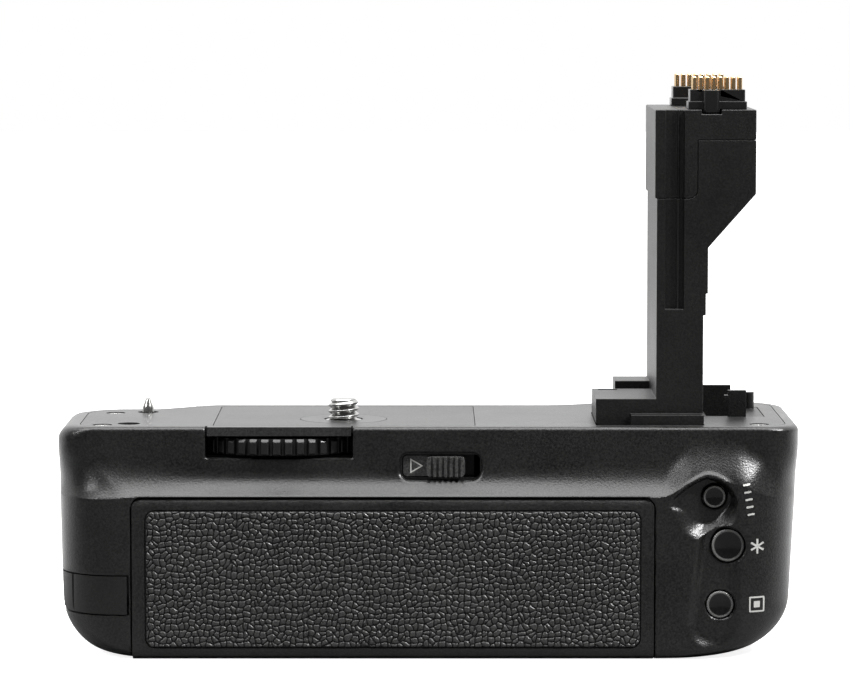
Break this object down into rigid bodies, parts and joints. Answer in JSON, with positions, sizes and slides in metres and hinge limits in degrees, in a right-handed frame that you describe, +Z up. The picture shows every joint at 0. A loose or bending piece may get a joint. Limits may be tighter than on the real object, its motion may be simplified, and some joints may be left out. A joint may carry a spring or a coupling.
{
  "type": "camera battery grip",
  "caption": "Wide black camera battery grip with a contact tower, attachment screw with thumbwheel, sliding battery magazine, ribbed release slider and thumb buttons.",
  "frame": {"origin": "under the middle of the housing's bounding box, on the surface it stands on", "axes": "+X to the viewer's right along the housing, +Y from the magazine door to the lens side, +Z up to the camera"},
  "size_m": [0.15, 0.068, 0.117],
  "materials": {
    "housing_plastic": "fine grained black",
    "seat_plastic": "satin dark grey",
    "tower_plastic": "satin black",
    "inner_plastic": "plain black",
    "leatherette": "pebbled black",
    "cover_rubber": "matt black",
    "control_plastic": "satin black",
    "steel": "turned",
    "brass": "bright",
    "pack_plastic": "dark grey",
    "board": "green board"
  },
  "bodies": {
    "housing": {"rear_shell": "housing_plastic", "front_shell": "housing_plastic", "top_plate": "seat_plastic", "seat_pad": "seat_plastic", "front_skin": "leatherette", "strap_bar": "steel", "tripod_bush": "steel", "housing_screws": "steel", "top_screws": "steel", "drive_frame": "inner_plastic", "frame_screws": "steel", "locating_pin": "steel", "tower_body": "tower_plastic", "tower_cap": "tower_plastic", "rear_plug": "tower_plastic", "front_plug": "tower_plastic", "plug_pins": "brass", "door_holder": "tower_plastic", "terminal_block": "inner_plastic", "main_board": "board", "button_board": "board", "button_domes": "steel", "shutter_collar": "housing_plastic", "shutter_switch": "steel", "dial_axle": "steel", "dial_bracket": "inner_plastic"},
    "thumbwheel": {"thumbwheel": "control_plastic"},
    "screw": {"attachment_screw": "steel", "screw_clip": "steel"},
    "magazine": {"magazine_tray": "inner_plastic", "magazine_door": "housing_plastic", "door_skin": "leatherette", "left_pack": "pack_plastic", "right_pack": "pack_plastic", "pack_contacts": "brass", "magazine_contacts": "brass"},
    "release": {"release_slider": "housing_plastic", "latch_bolt": "steel"},
    "upper_button": {"upper_button": "control_plastic"},
    "middle_button": {"middle_button": "control_plastic"},
    "lower_button": {"lower_button": "control_plastic"},
    "shutter": {"shutter_button": "control_plastic"},
    "dial": {"control_dial": "control_plastic"},
    "power": {"power_switch": "housing_plastic"},
    "cover": {"cord_cover": "cover_rubber"}
  },
  "joints": [
    {"name": "thumbwheel_turn", "type": "hinge", "parent": "housing", "child": "thumbwheel", "pos_m": [-0.03012, -0.0102, 0.0427], "axis": [0, 0, 1], "continuous": true},
    {"name": "screw_turn", "type": "hinge", "parent": "housing", "child": "screw", "pos_m": [-0.0174, -0.0127, 0.0487], "axis": [0, 0, 1], "continuous": true},
    {"name": "magazine_slide", "type": "slide", "parent": "housing", "child": "magazine", "axis": [0, -1, 0], "range_m": [0, 0.066]},
    {"name": "release_slide", "type": "slide", "parent": "housing", "child": "release", "axis": [1, 0, 0], "range_m": [0, 0.0024], "stiffness_N_per_m": 400, "springref_m": -0.003},
    {"name": "upper_button_press", "type": "slide", "parent": "housing", "child": "upper_button", "axis": [0, 1, 0], "range_m": [0, 0.0008], "stiffness_N_per_m": 800, "springref_m": -0.001},
    {"name": "middle_button_press", "type": "slide", "parent": "housing", "child": "middle_button", "axis": [0, 1, 0], "range_m": [0, 0.0008], "stiffness_N_per_m": 800, "springref_m": -0.001},
    {"name": "lower_button_press", "type": "slide", "parent": "housing", "child": "lower_button", "axis": [0, 1, 0], "range_m": [0, 0.0008], "stiffness_N_per_m": 800, "springref_m": -0.001},
    {"name": "shutter_press", "type": "slide", "parent": "housing", "child": "shutter", "axis": [-0.7071, -0.7071, 0], "range_m": [0, 0.0012], "stiffness_N_per_m": 600, "springref_m": -0.001},
    {"name": "dial_turn", "type": "hinge", "parent": "housing", "child": "dial", "pos_m": [0.06593, 0.0125, 0.021], "axis": [0, 1, 0], "continuous": true},
    {"name": "power_slide", "type": "slide", "parent": "housing", "child": "power", "axis": [0, 0, 1], "range_m": [0, 0.0026]},
    {"name": "cover_hinge", "type": "hinge", "parent": "housing", "child": "cover", "pos_m": [-0.07377, -0.0202, 0.0131], "axis": [0, 0, -1], "range_deg": [0, 90], "stiffness_Nm_per_rad": 0.004}
  ],
  "couplings": [
    {"joint": "screw_turn", "follows": "thumbwheel_turn", "ratio": 4}
  ]
}
